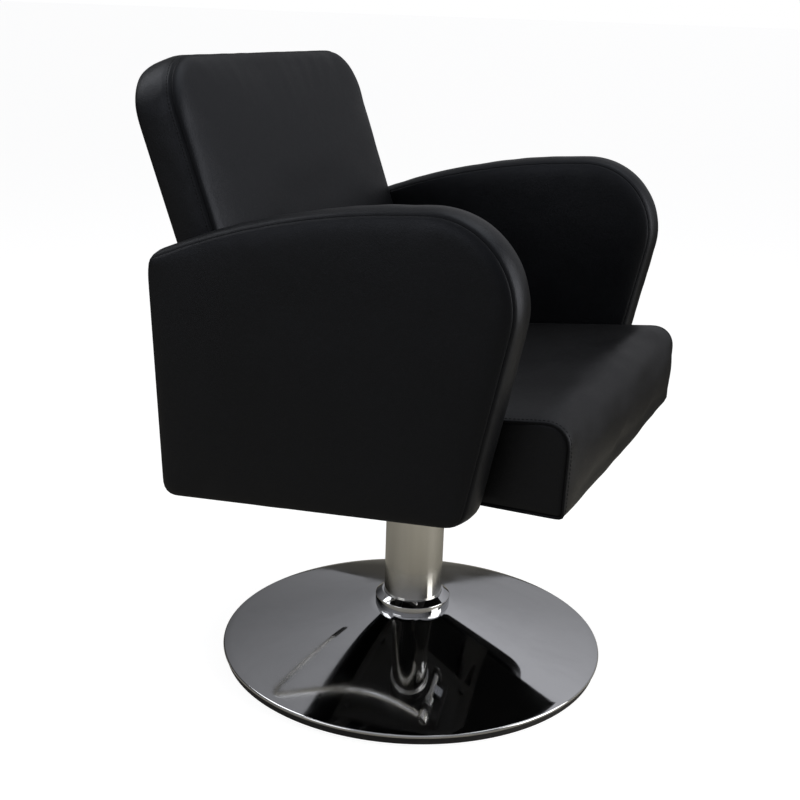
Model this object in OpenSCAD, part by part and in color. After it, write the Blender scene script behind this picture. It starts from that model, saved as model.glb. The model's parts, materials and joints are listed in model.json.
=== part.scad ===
// Salon styling chair: boxed tub seat on a hydraulic pedestal with a round conical base.
// Millimetres. +Z up, the chair faces -Y, origin on the floor under the column axis.

/* [Pedestal] */
// Outer diameter of the round base
base_d = 550; // [520:1:600]
// Height of the rubber floor ring
ring_h = 9.5; // [8:0.5:14]
// Height of the cone where it meets the collar
cone_h = 70; // [60:1:90]
// Outer diameter of the column collar
collar_d = 108; // [100:1:120]
// Outer diameter of the pedestal column
column_d = 83.4; // [80:0.2:86]
// Height of the top of the column tube
column_h = 298; // [290:1:300]
// Stroke of the hydraulic lift
lift_stroke = 140; // [80:5:140]

/* [Seat] */
// Width of the seat cushion
seat_w = 532; // [500:1:532]
// Height of the underside of the seat cushion
seat_under = 351; // [349:1:354]
// Height of the seat cushion's top near its front edge
seat_top = 462; // [450:1:475]
// Slope of the seat's top towards the back, in degrees
seat_slope = 6.2; // [3:0.1:8]
// Rounding of the seat's front edge
seat_nose_r = 28; // [20:1:40]

/* [Arms] */
// Thickness of each padded arm
arm_t = 53; // [48:1:60]
// Clear width between the arms, measured beside the column axis
arm_gap = 546; // [546:1:560]
// Angle by which each arm turns outwards towards the front
arm_splay = 1.26; // [0.5:0.01:1.3]
// Radius of the arm's round front
nose_r = 103; // [95:1:110]
// Height of the centre of the arm's round front
nose_z = 593; // [580:1:600]
// Padding over the top, front and rear of the arm's wooden core
arm_padding = 15; // [10:1:20]

/* [Back] */
// Width of the back cushion
back_w = 514; // [480:1:520]
// Thickness of the back cushion
back_t = 66; // [60:1:68]
// Lean of the back from upright, in degrees
back_rake = 20; // [18:0.5:21]
// Height of the front top edge of the back
back_top = 841; // [780:1:860]
// Radius of the back's upper corners
back_corner_r = 66; // [40:1:90]

/* [Pump lever] */
// Diameter of the bent lever rod
lever_d = 13; // [11:0.5:14]
// How far behind the column axis the rod starts its bend
lever_reach = 285; // [250:1:300]
// Length of the cross bar
cross_bar = 165; // [120:1:180]

/* [Hidden] */

$fn = 96;
small_fn = 48;
cut = 1;                    // extra length of every cutter past the face it opens
fit = 0.05;                 // radial clearance of the sliding and turning fits

// Pedestal
base_r = base_d / 2;
column_r = column_d / 2;
tube_wall = 3;
bore_r = column_r - tube_wall;
lip_r = 3;
lip_c = [base_r - lip_r, ring_h + lip_r];
sheet_t = 1.8;
ring_land = 3;
plate_r = base_r - 17;
plate_t = 10;
plate_top = ring_land + plate_t;
flange_t = 9;
flange_r = 80;
flange_pcd = 124;
bolt_r = 5;
tube_floor_t = 8;
race_t = 3;
ball_r = 2.9;
race_gap = 6;
race_r = [13, 24];
ball_ring_r = 18.5;
race_base = plate_top + tube_floor_t;

// Hydraulic lift
rod_r = 11;
cyl_r = 30;
cyl_bore_r = 26;
gland_h = 14;
piston_z = 280;
piston_h = 16;
bush_h = 46;
stroke_spare = 10;          // what is left between the gland and the bush with the seat fully up
cyl_foot = column_h - bush_h - gland_h - lift_stroke - stroke_spare;
cap_wall = 2.8;
cap_h = 16;
cap_lip = 4;
head_z = column_h + cap_lip + 2;
head_r = 46;
plate_z = seat_under - 18;
mount_t = 6;
rail_t = 11;
cyl_top = plate_z - 8;
cover_t = 1;

// Lever and plunger
pivot = [-58, 296];         // y and z of the lever's axis
lever_x = -60;
shaft_r = 6;
shaft_x = [-66, 42];
lug_t = 8;
lug_x = [-46, 30];
block_z = 309;
rocker_w = 16;
rocker_reach = 22;
rocker_half = 5;
plunger_r = 5;
plunger_y = pivot[0] - 14;
plunger_tip = pivot[1] + rocker_half + 0.3;
plunger_top = 320;
bend_r = 22;
bend_angle = 102;
bend_overlap = 2;           // degrees by which the bend enters the straight runs
bend_thin = 0.05;           // how much thinner the bent stretch is drawn
spring_turns = 5;
spring_r = 8.6;
spring_wire = 1.1;
spring_pitch = 3;
spring_x = -34;

// Frame under the seat
rail_y = [-110, 123];
rail_w = 44;
mount_w = 180;
mount_bolt_x = 65;
m8_r = 4;
m8_head_r = 6.5;
m8_head_h = 5;
flange_up = 66;
side_flange_t = 4;
side_bolt_z = [366, 394];

// Arm outline, in the plane of Y and Z: a big round nose, a long crown arc, a rear line and a bottom line
nose_c = [-140, nose_z];
crown_r = 1000;
crown_turn = 87.3;   // direction from the nose's centre to where the crown arc starts
front_turn = 191.5;  // direction of the front line's outward normal
bottom_turn = 265.2;
rear_turn = -3.3;
rear_foot = [211, 308];
rear_top_r = 15;
rear_foot_r = 15;
front_foot_r = 30;
core_t = 18;

// Seat and back outlines
seat_front_foot = [-290.5, seat_under];
seat_front_turn = 181.5;
seat_high = [-240, seat_top];
back_foot = [71, 372];
back_gap = 1.5;
cushion_start = 12;
board_t = 15;
board_front = 34;
bracket_t = 5;
bracket_w = 40;
bracket_x = 150;
bracket_up = 150;
seat_board_x = 240;
seat_board_y = [-262, 60];
panel_t = 16;
panel_z = [314, 518];
panel_set_in = 4;

function dir(a) = [cos(a), sin(a)];
function arc(c, r, a0, a1, n) = [for (i = [0:n]) c + r * dir(a0 + (a1 - a0) * i / n)];
// Point where two lines meet, each given by its normal and its distance along that normal
function meet(n1, d1, n2, d2) =
    let (det = n1[0] * n2[1] - n1[1] * n2[0])
    [(d1 * n2[1] - d2 * n1[1]) / det, (n1[0] * d2 - n2[0] * d1) / det];
// Direction from a circle's centre to where a line from p touches it on its upper side
function touch(c, r, p) = atan2(p[1] - c[1], p[0] - c[0]) - acos(r / norm(p - c));
// Centre of a round corner of radius r between two lines that meet at p
function corner(p, n1, n2, r) = p - r * (n1 + n2) / (1 + n1 * n2);

crown_c = nose_c - (crown_r - nose_r) * dir(crown_turn);

// The arm's outline drawn in by a given amount; the bottom has an amount of its own
function arm_outline(inset, bottom_inset) =
    let (
        nf = dir(front_turn), nb = dir(bottom_turn), nr = dir(rear_turn),
        df = nf * nose_c + nose_r - inset,
        db = nb * rear_foot - bottom_inset,
        dr = nr * rear_foot - inset,
        front_p = meet(nf, df, nb, db),
        rear_p = meet(nr, dr, nb, db),
        rf = max(front_foot_r - inset, 1),
        rr = max(rear_foot_r - inset, 1),
        rt = max(rear_top_r - inset, 1),
        big = crown_r - inset - rt,
        up = dir(rear_turn + 90),
        q = rear_p - rt * nr,
        b = (q - crown_c) * up,
        top_c = q + (-b + sqrt(b * b - (q - crown_c) * (q - crown_c) + big * big)) * up,
        join = atan2(top_c[1] - crown_c[1], top_c[0] - crown_c[0])
    )
    concat(
        arc(nose_c, nose_r - inset, front_turn, crown_turn, 24),
        arc(crown_c, crown_r - inset, crown_turn - 1, join, 8),
        arc(top_c, rt, join - 8, rear_turn, 6),
        arc(corner(rear_p, nr, nb, rr), rr, rear_turn, bottom_turn - 360, 5),
        arc(corner(front_p, nf, nb, rf), rf, bottom_turn, front_turn, 4)
    );

// The seat cushion's side outline, closed behind by a line along the back's front face
function seat_outline() =
    let (
        nf = dir(seat_front_turn), nt = dir(90 - seat_slope), nb = dir(back_rake * -1),
        df = nf * seat_front_foot, dt = nt * seat_high,
        d_back = nb * (back_foot - [back_gap, 0]),
        top_p = meet(nf, df, nt, dt)
    )
    concat(
        [seat_front_foot],
        arc(corner(top_p, nf, nt, seat_nose_r), seat_nose_r, seat_front_turn, 90 - seat_slope, 12),
        [meet(nt, dt, nb, d_back), meet([0, -1], -seat_under, nb, d_back)]
    );

// The back cushion's outline in its own face plane
function back_outline(half_w, low, high, r) =
    concat(
        [[-half_w, low]], [[half_w, low]],
        arc([half_w - r, high - r], r, 0, 90, 12),
        arc([-half_w + r, high - r], r, 90, 180, 12)
    );
back_h = (back_top - back_foot[1]) / cos(back_rake);

// Draws an outline of Y and Z points and gives it a width along X
module side_slab(outline, x0, x1) {
    translate([x0, 0, 0])
        rotate([90, 0, 90])
            linear_extrude(x1 - x0) polygon(outline);
}

// Stands a child on an arm's inner face: local x runs outwards through the arm
module at_arm(side) {
    mirror([side < 0 ? 1 : 0, 0, 0])
        translate([arm_gap / 2, 0, 0])
            rotate([0, 0, arm_splay]) children();
}

// Places a child in the back's own frame: local z runs up the back, local y runs through it
module in_back() {
    translate([0, back_foot[0], back_foot[1]])
        rotate([-back_rake, 0, 0]) children();
}

module hex_bolt(shank_r, shank_h, head_r, head_h) {
    translate([0, 0, -shank_h]) cylinder(r = shank_r, h = shank_h, $fn = small_fn);
    cylinder(r = head_r, h = head_h, $fn = 6);
}

module across(x0, x1, y, z, r) {
    translate([x0, y, z]) rotate([0, 90, 0]) cylinder(r = r, h = x1 - x0, $fn = small_fn);
}

module flange_places() {
    for (i = [0:3]) rotate([0, 0, 45 + 90 * i]) translate([flange_pcd / 2, 0, 0]) children();
}

// Pedestal

module floor_ring() {
    color("#1a1a1a") rotate_extrude() polygon([
        [plate_r - 18, 0], [base_r - 4, 0], [base_r - 4, ring_h], [plate_r + 4, ring_h],
        [plate_r + 4, ring_land], [plate_r - 18, ring_land]
    ]);
}

module ballast_plate() {
    color("#3c3f42") difference() {
        translate([0, 0, ring_land]) cylinder(r = plate_r, h = plate_t);
        flange_places() translate([0, 0, ring_land - cut])
            cylinder(r = bolt_r, h = plate_t + 2 * cut, $fn = small_fn);
    }
}

module base_dome() {
    neck = collar_d / 2;
    color("#b9bcc0") rotate_extrude($fn = 180) polygon(concat(
        arc(lip_c, lip_r, -90, touch(lip_c, lip_r, [neck, cone_h]), 14),
        [[neck, cone_h], [neck - 9, cone_h], [neck - 9, cone_h - sheet_t], [neck, cone_h - sheet_t],
         lip_c + [-lip_r, lip_r - sheet_t], lip_c - [lip_r, lip_r - 1]]
    ));
}

module base_collar() {
    r = collar_d / 2;
    color("#c4c7ca") rotate_extrude() polygon([
        [column_r, cone_h], [r - 1, cone_h], [r, cone_h + 1], [r, cone_h + 13], [r - 1, cone_h + 14],
        [column_r + 3, cone_h + 21], [column_r, cone_h + 21]
    ]);
}

module column_tube() {
    color("#c9ccce") difference() {
        translate([0, 0, plate_top]) cylinder(r = column_r, h = column_h - plate_top);
        translate([0, 0, plate_top - cut]) cylinder(r = bore_r, h = column_h - plate_top + 2 * cut);
    }
}

module column_flange() {
    color("#4a4d50") difference() {
        translate([0, 0, plate_top]) cylinder(r = flange_r, h = flange_t);
        translate([0, 0, plate_top - cut]) cylinder(r = column_r, h = flange_t + 2 * cut);
        flange_places() translate([0, 0, plate_top - cut])
            cylinder(r = bolt_r + 0.5, h = flange_t + 2 * cut, $fn = small_fn);
    }
}

module flange_bolts() {
    color("#85888b") flange_places() translate([0, 0, plate_top + flange_t])
        hex_bolt(bolt_r, flange_t + plate_t - 1, 9, 6.5);
}

module tube_floor() {
    color("#4a4d50") translate([0, 0, plate_top]) cylinder(r = bore_r, h = tube_floor_t);
}

module race(z) {
    color("#9da0a3") difference() {
        translate([0, 0, z]) cylinder(r = race_r[1], h = race_t);
        translate([0, 0, z - cut]) cylinder(r = race_r[0], h = race_t + 2 * cut);
    }
}

module lower_race() {
    race(race_base);
}

module guide_bush() {
    color("#e4e2da") difference() {
        translate([0, 0, column_h - bush_h]) cylinder(r = bore_r, h = bush_h);
        translate([0, 0, column_h - bush_h - cut]) cylinder(r = cyl_r + fit, h = bush_h + 2 * cut);
    }
}

module column_cap() {
    r = column_r + cap_wall;
    color("#c9ccce") rotate_extrude() polygon([
        [cyl_r + 1, column_h], [column_r, column_h], [column_r, column_h + cap_lip - cap_h],
        [r, column_h + cap_lip - cap_h], [r, column_h + cap_lip - 1], [r - 1, column_h + cap_lip],
        [cyl_r + 1, column_h + cap_lip]
    ]);
}

// Piston rod and its thrust bearing, which turn with the seat

module bearing_balls() {
    count = 14;
    color("#c9ccce") for (i = [0:count - 1])
        rotate([0, 0, 360 * i / count])
            translate([ball_ring_r, 0, race_base + race_t + race_gap / 2]) sphere(r = ball_r, $fn = 32);
}

module upper_race() {
    race(race_base + race_t + race_gap);
}

module piston_rod() {
    shoulder_z = race_base + 2 * race_t + race_gap;
    color("#b9bcc0") {
        translate([0, 0, race_base + 2]) cylinder(r = rod_r, h = piston_z + piston_h + 4 - race_base - 2);
        translate([0, 0, shoulder_z]) cylinder(r = race_r[1], h = 4);
    }
}

module piston() {
    color("#6d6f72") difference() {
        translate([0, 0, piston_z]) cylinder(r = cyl_bore_r - fit, h = piston_h);
        translate([0, 0, piston_z - cut]) cylinder(r = rod_r, h = piston_h + 2 * cut);
    }
}

// Hydraulic cylinder and pump head, which rise with the seat

module pump_cylinder() {
    color("#b9bcc0") difference() {
        translate([0, 0, cyl_foot]) cylinder(r = cyl_r, h = cyl_top - cyl_foot);
        translate([0, 0, cyl_foot - cut]) cylinder(r = cyl_bore_r, h = cyl_top - cyl_foot + 2 * cut);
    }
}

module cylinder_gland() {
    color("#4a4d50") difference() {
        translate([0, 0, cyl_foot]) cylinder(r = cyl_bore_r, h = gland_h);
        translate([0, 0, cyl_foot - cut]) cylinder(r = rod_r + fit, h = gland_h + 2 * cut);
    }
}

module wear_ring() {
    color("#e4e2da") difference() {
        translate([0, 0, cyl_foot]) cylinder(r = bore_r - 0.08, h = gland_h);
        translate([0, 0, cyl_foot - cut]) cylinder(r = cyl_r, h = gland_h + 2 * cut);
    }
}

module pump_head() {
    block_y = [plunger_y - 12, -30];
    color("#2a2b2d") difference() {
        union() {
            translate([0, 0, head_z]) cylinder(r = head_r, h = plate_z - head_z);
            translate([lug_x[0], block_y[0], block_z])
                cube([lug_x[1] + lug_t - lug_x[0], block_y[1] - block_y[0], plate_z - block_z]);
            for (x = lug_x) {
                translate([x, pivot[0] - 10, pivot[1]]) cube([lug_t, 20, plate_z - pivot[1]]);
                across(x, x + lug_t, pivot[0], pivot[1], 10);
            }
        }
        translate([0, 0, head_z - cut]) cylinder(r = cyl_r, h = cyl_top - head_z + cut);
        across(shaft_x[0], shaft_x[1] + cut, pivot[0], pivot[1], shaft_r + fit);
        translate([0, plunger_y, block_z - cut])
            cylinder(r = plunger_r + fit, h = plunger_top + 8 - block_z, $fn = small_fn);
    }
}

module mount_holes() {
    for (x = [-mount_bolt_x, mount_bolt_x], y = rail_y) translate([x, y, 0]) children();
}

module mount_plate() {
    y0 = rail_y[0] - rail_w / 2;
    color("#1f2022") difference() {
        translate([-mount_w / 2, y0, plate_z]) cube([mount_w, rail_y[1] + rail_w / 2 - y0, mount_t]);
        mount_holes() translate([0, 0, plate_z - cut])
            cylinder(r = m8_r + 0.4, h = mount_t + 2 * cut, $fn = small_fn);
    }
}

// The front pair screws into the seat board, the rear pair takes nuts above the rail
module plate_bolts() {
    color("#2b2c2e") mount_holes() translate([0, 0, plate_z])
        mirror([0, 0, 1]) hex_bolt(m8_r, mount_t + rail_t + cover_t + 6, m8_head_r, m8_head_h);
}

module plate_nuts() {
    color("#2b2c2e") for (x = [-mount_bolt_x, mount_bolt_x])
        translate([x, rail_y[1], seat_under - cover_t]) difference() {
            cylinder(r = m8_head_r, h = 6, $fn = 6);
            translate([0, 0, -cut]) cylinder(r = m8_r, h = 6 + 2 * cut, $fn = small_fn);
        }
}

// A flat cross rail with an upright flange at each end that bolts to the arms
module rail(y, extra_holes) {
    z0 = plate_z + mount_t;
    color("#1f2022") difference() {
        union() {
            translate([-arm_gap / 2 + 2, y - rail_w / 2, z0]) cube([arm_gap - 4, rail_w, rail_t]);
            for (side = [-1, 1]) at_arm(side)
                translate([-side_flange_t, y - rail_w / 2, z0]) cube([side_flange_t, rail_w, flange_up]);
        }
        for (side = [-1, 1]) {
            at_arm(side) translate([0, y - rail_w, z0 - cut]) cube([20, 2 * rail_w, flange_up + 2 * cut]);
            at_arm(side) for (z = side_bolt_z) {
                across(-side_flange_t - cut, cut, y, z, m8_r + 0.2);
                across(-side_flange_t - cut, -side_flange_t + 2, y, z, m8_head_r + 0.5);
            }
        }
        for (x = [-mount_bolt_x, mount_bolt_x]) translate([x, y, z0 - cut])
            cylinder(r = m8_r, h = rail_t + 2 * cut, $fn = small_fn);
        for (p = extra_holes) translate([p[0], p[1], z0 - cut])
            cylinder(r = m8_r, h = rail_t + 2 * cut, $fn = small_fn);
    }
}

foot_places = [for (x = [-bracket_x, bracket_x], dy = [-14, 14]) [x, rail_y[1] + dy]];

module front_rail() {
    rail(rail_y[0], []);
}

module rear_rail() {
    rail(rail_y[1], foot_places);
}

module seat_board_block(extra) {
    translate([-seat_board_x, seat_board_y[0], seat_under - extra])
        cube([2 * seat_board_x, seat_board_y[1] - seat_board_y[0], board_t + extra]);
}

module front_bolt_holes() {
    for (x = [-mount_bolt_x, mount_bolt_x]) translate([x, rail_y[0], seat_under - 2])
        cylinder(r = m8_r, h = 8, $fn = small_fn);
}

module seat_board() {
    color("#b08d5c") difference() {
        seat_board_block(0);
        front_bolt_holes();
    }
}

module dust_cover() {
    color("#161616") difference() {
        translate([-seat_board_x - 16, seat_board_y[0] - 8, seat_under - cover_t])
            cube([2 * seat_board_x + 32, seat_board_y[1] - seat_board_y[0] + 12, cover_t]);
        front_bolt_holes();
    }
}

module seat_cushion() {
    color("#242321") difference() {
        side_slab(seat_outline(), -seat_w / 2, seat_w / 2);
        seat_board_block(cut);
    }
}

// Arms: a plywood core in a pad that is open at the bottom

module arm_bolt_places() {
    for (y = rail_y, z = side_bolt_z) translate([0, y, z]) rotate([0, 90, 0]) children();
}

core_x = (arm_t - core_t) / 2;
nut_barrel_r = 5.5;
nut_face_r = 10;

module arm_core() {
    color("#b08d5c") difference() {
        side_slab(arm_outline(arm_padding, 0), core_x, core_x + core_t);
        arm_bolt_places() {
            translate([0, 0, core_x - cut]) cylinder(r = nut_barrel_r, h = core_t - 1, $fn = small_fn);
            translate([0, 0, core_x - cut]) cylinder(r = nut_face_r, h = cut + 1.5, $fn = small_fn);
        }
    }
}

module arm_pad() {
    color("#1b1c1e") difference() {
        side_slab(arm_outline(0, 0), 0, arm_t);
        side_slab(arm_outline(arm_padding, -cut), core_x, core_x + core_t);
        arm_bolt_places() translate([0, 0, -cut]) cylinder(r = m8_r, h = core_x + 2 * cut, $fn = small_fn);
    }
}

module arm_core_right() {
    at_arm(-1) arm_core();
}

module arm_core_left() {
    at_arm(1) arm_core();
}

module arm_pad_right() {
    at_arm(-1) arm_pad();
}

module arm_pad_left() {
    at_arm(1) arm_pad();
}

module arm_bolts() {
    color("#85888b") for (side = [-1, 1]) at_arm(side) arm_bolt_places() {
        translate([0, 0, -side_flange_t]) cylinder(r = m8_r, h = core_x + 15, $fn = small_fn);
        translate([0, 0, -side_flange_t]) cylinder(r = m8_head_r, h = 2, $fn = small_fn);
    }
}

module tee_nuts() {
    color("#c2b78a") for (side = [-1, 1]) at_arm(side) arm_bolt_places() difference() {
        union() {
            translate([0, 0, core_x]) cylinder(r = nut_barrel_r, h = 12, $fn = small_fn);
            translate([0, 0, core_x]) cylinder(r = nut_face_r, h = 1.5, $fn = small_fn);
        }
        translate([0, 0, core_x - cut]) cylinder(r = m8_r, h = 14, $fn = small_fn);
    }
}

// Padded panel that closes the tub behind, parallel to the arms' rear edges
module rear_panel() {
    up = dir(rear_turn + 90);
    foot = rear_foot + up * ((panel_z[0] - rear_foot[1]) / up[1]) - [panel_set_in, 0];
    head = rear_foot + up * ((panel_z[1] - rear_foot[1]) / up[1]) - [panel_set_in, 0];
    half_w = arm_gap / 2 - head[0] * tan(arm_splay) - 1;
    color("#1b1c1e")
        side_slab([foot, head, head - [panel_t, 0], foot - [panel_t, 0]], -half_w, half_w);
}

// Back cushion on a plywood board, held by two steel brackets

module face_slab(outline, y0, y1) {
    translate([0, y1, 0]) rotate([90, 0, 0]) linear_extrude(y1 - y0) polygon(outline);
}

module board_outline_slab(low) {
    face_slab(back_outline(back_w / 2 - 30, low, back_h - 34, back_corner_r - 30), board_front,
        board_front + board_t);
}

module bracket_bar(low) {
    for (x = [-bracket_x, bracket_x])
        translate([x - bracket_w / 2, board_front + board_t, low])
            cube([bracket_w, bracket_t, bracket_up - low]);
}

board_bolt_up = [60, 110];

module board_bolt_places() {
    for (x = [-bracket_x, bracket_x], z = board_bolt_up)
        translate([x, board_front + board_t + bracket_t, z]) rotate([-90, 0, 0]) children();
}

module back_board() {
    color("#b08d5c") difference() {
        in_back() board_outline_slab(cushion_start);
        in_back() board_bolt_places() translate([0, 0, -bracket_t - 12])
            cylinder(r = m8_r, h = 13, $fn = small_fn);
    }
}

module back_cushion() {
    color("#1b1c1e") in_back() difference() {
        face_slab(back_outline(back_w / 2, cushion_start, back_h, back_corner_r), 0, back_t);
        board_outline_slab(cushion_start - cut);
        bracket_bar(cushion_start - cut);
        board_bolt_places() cylinder(r = m8_head_r, h = 3.5, $fn = small_fn);
    }
}

module back_brackets() {
    foot_z = seat_under - cover_t;
    color("#1f2022") difference() {
        union() {
            difference() {
                in_back() bracket_bar(-10);
                translate([-seat_w / 2, 0, foot_z - 60]) cube([seat_w, 300, 60]);
            }
            for (x = [-bracket_x, bracket_x])
                translate([x - bracket_w / 2, rail_y[1] - rail_w / 2, foot_z])
                    cube([bracket_w, rail_w, mount_t]);
        }
        for (p = foot_places) translate([p[0], p[1], foot_z - cut])
            cylinder(r = m8_r + 0.4, h = mount_t + 2 * cut, $fn = small_fn);
        in_back() board_bolt_places() translate([0, 0, -bracket_t - cut])
            cylinder(r = m8_r + 0.4, h = bracket_t + 2 * cut, $fn = small_fn);
    }
}

module foot_bolts() {
    color("#2b2c2e") for (p = foot_places)
        translate([p[0], p[1], seat_under - cover_t + mount_t]) {
            cylinder(r = m8_head_r, h = 3.5, $fn = 6);
            translate([0, 0, -mount_t - rail_t + 1])
                cylinder(r = m8_r, h = mount_t + rail_t - 1, $fn = small_fn);
        }
}

module board_bolts() {
    color("#85888b") in_back() board_bolt_places() {
        cylinder(r = m8_head_r, h = 3.5, $fn = small_fn);
        translate([0, 0, -bracket_t - 12]) cylinder(r = m8_r, h = bracket_t + 12, $fn = small_fn);
    }
}

// Pump lever: a bent rod that runs back under the seat and turns into a cross bar

bend_c = [lever_x + bend_r, lever_reach];
bend_out = 180 - bend_angle;
bar_start = bend_c + bend_r * dir(bend_out);

module bar_frame() {
    translate([bar_start[0], bar_start[1], pivot[1]]) rotate([0, 90, bend_out - 90]) children();
}

module pump_lever() {
    r = lever_d / 2;
    color("#b9bcc0") {
        difference() {
            across(shaft_x[0] - 2, lever_x + 8, pivot[0], pivot[1], shaft_r + 5.5);
            across(shaft_x[0] - 3, lever_x + 9, pivot[0], pivot[1], shaft_r);
        }
        translate([lever_x, pivot[0] + shaft_r + 2, pivot[1]]) rotate([-90, 0, 0])
            cylinder(r = r, h = lever_reach - pivot[0] - shaft_r - 2, $fn = small_fn);
        translate([bend_c[0], bend_c[1], pivot[1]]) rotate([0, 0, bend_out - bend_overlap])
            rotate_extrude(angle = bend_angle + 2 * bend_overlap, $fn = 72)
                translate([bend_r, 0]) circle(r = r - bend_thin, $fn = small_fn);
        bar_frame() cylinder(r = r, h = cross_bar, $fn = small_fn);
    }
}

module lever_cap() {
    r = lever_d / 2;
    color("#161616") bar_frame() difference() {
        translate([0, 0, cross_bar - 28]) cylinder(r = r + 2, h = 31, $fn = small_fn);
        translate([0, 0, cross_bar - 28 - cut]) cylinder(r = r, h = 28 + cut, $fn = small_fn);
    }
}

module lever_shaft() {
    y0 = pivot[0] - rocker_reach;
    color("#85888b") {
        across(shaft_x[0], shaft_x[1], pivot[0], pivot[1], shaft_r);
        translate([-rocker_w / 2, y0, pivot[1] - rocker_half])
            cube([rocker_w, rocker_reach, 2 * rocker_half]);
    }
}

// Torsion spring wound round the lever shaft between the left lug and the rocker
module lever_spring() {
    sides = 8;
    steps = 20 * spring_turns;
    function place(i) = let (a = 360 * spring_turns * i / steps)
        [spring_x + spring_pitch * spring_turns * i / steps, spring_r * cos(a), spring_r * sin(a)];
    rings = [for (i = [0:steps], j = [0:sides - 1])
        let (a = 360 * spring_turns * i / steps, b = 360 * j / sides, p = place(i))
        p + spring_wire * [sin(b), cos(b) * cos(a), cos(b) * sin(a)]];
    walls = [for (i = [0:steps - 1], j = [0:sides - 1])
        let (k = (j + 1) % sides)
        [i * sides + j, i * sides + k, (i + 1) * sides + k, (i + 1) * sides + j]];
    ends = [[for (j = [sides - 1:-1:0]) j], [for (j = [0:sides - 1]) steps * sides + j]];
    color("#9da0a3") translate([0, pivot[0], pivot[1]])
        polyhedron(points = rings, faces = concat(walls, ends));
}

module pump_plunger() {
    color("#b9bcc0") translate([0, plunger_y, 0]) {
        translate([0, 0, plunger_tip + plunger_r])
            cylinder(r = plunger_r, h = plunger_top - plunger_tip - plunger_r, $fn = small_fn);
        translate([0, 0, plunger_tip + plunger_r]) sphere(r = plunger_r, $fn = small_fn);
    }
}

floor_ring();
ballast_plate();
base_dome();
base_collar();
column_tube();
column_flange();
flange_bolts();
tube_floor();
lower_race();
guide_bush();
column_cap();
bearing_balls();
upper_race();
piston_rod();
piston();
pump_cylinder();
cylinder_gland();
wear_ring();
pump_head();
mount_plate();
plate_bolts();
plate_nuts();
front_rail();
rear_rail();
seat_board();
dust_cover();
seat_cushion();
arm_core_right();
arm_core_left();
arm_pad_right();
arm_pad_left();
arm_bolts();
tee_nuts();
rear_panel();
back_board();
back_cushion();
back_brackets();
foot_bolts();
board_bolts();
pump_lever();
lever_shaft();
lever_spring();
lever_cap();
pump_plunger();
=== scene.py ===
"""Looks of the salon styling chair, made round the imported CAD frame. Metres, +Z up, the chair faces -Y."""

import json
import math

import bmesh
import bpy
import numpy as np
from mathutils import Matrix, Vector, noise
from mathutils.bvhtree import BVHTree
from mathutils.kdtree import KDTree


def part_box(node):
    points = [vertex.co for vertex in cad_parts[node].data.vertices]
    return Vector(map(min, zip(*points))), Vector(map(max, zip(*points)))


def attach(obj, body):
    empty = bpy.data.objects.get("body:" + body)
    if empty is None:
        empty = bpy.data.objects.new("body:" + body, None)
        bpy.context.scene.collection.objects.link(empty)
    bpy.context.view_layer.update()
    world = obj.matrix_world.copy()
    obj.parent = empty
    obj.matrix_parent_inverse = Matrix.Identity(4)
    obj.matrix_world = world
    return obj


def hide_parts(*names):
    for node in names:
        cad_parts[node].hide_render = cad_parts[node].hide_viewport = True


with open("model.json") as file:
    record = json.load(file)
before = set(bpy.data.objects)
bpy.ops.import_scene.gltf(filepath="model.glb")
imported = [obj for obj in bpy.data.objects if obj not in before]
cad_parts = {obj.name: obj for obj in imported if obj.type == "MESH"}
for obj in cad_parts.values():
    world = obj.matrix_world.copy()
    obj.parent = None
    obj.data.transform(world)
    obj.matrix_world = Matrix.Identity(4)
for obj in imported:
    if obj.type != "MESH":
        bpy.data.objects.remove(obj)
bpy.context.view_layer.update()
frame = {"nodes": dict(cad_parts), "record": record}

scene = bpy.context.scene
MM = 0.001

# ---------------------------------------------------------------- camera

AIM = Vector((-0.0134, 0.0246, 0.3785))
VIEW_DISTANCE = 1.7804
VIEW_AZIMUTH = math.radians(-66.8)
VIEW_ELEVATION = math.radians(17.01)
VIEW_ROLL = math.radians(1.92)
LENS_MM = 57.45
SENSOR_MM = 36.0

forward = Vector((
    -math.sin(VIEW_AZIMUTH) * math.cos(VIEW_ELEVATION),
    math.cos(VIEW_AZIMUTH) * math.cos(VIEW_ELEVATION),
    -math.sin(VIEW_ELEVATION),
))


def make_camera():
    level = forward.cross(Vector((0, 0, 1))).normalized()
    over = level.cross(forward)
    right = level * math.cos(VIEW_ROLL) + over * math.sin(VIEW_ROLL)
    up = over * math.cos(VIEW_ROLL) - level * math.sin(VIEW_ROLL)
    data = bpy.data.cameras.new("view")
    data.lens = LENS_MM
    data.sensor_width = SENSOR_MM
    camera = bpy.data.objects.new("view", data)
    turn = Matrix((right, up, -forward)).transposed().to_4x4()
    camera.matrix_world = Matrix.Translation(AIM - forward * VIEW_DISTANCE) @ turn
    scene.collection.objects.link(camera)
    scene.camera = camera


make_camera()

# ---------------------------------------------------------------- materials


# The colour sockets of a Mix node have the same names as its number sockets, so they go by their order
MIX_COLOR_A, MIX_COLOR_B, MIX_COLOR_RESULT = 6, 7, 2


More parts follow.
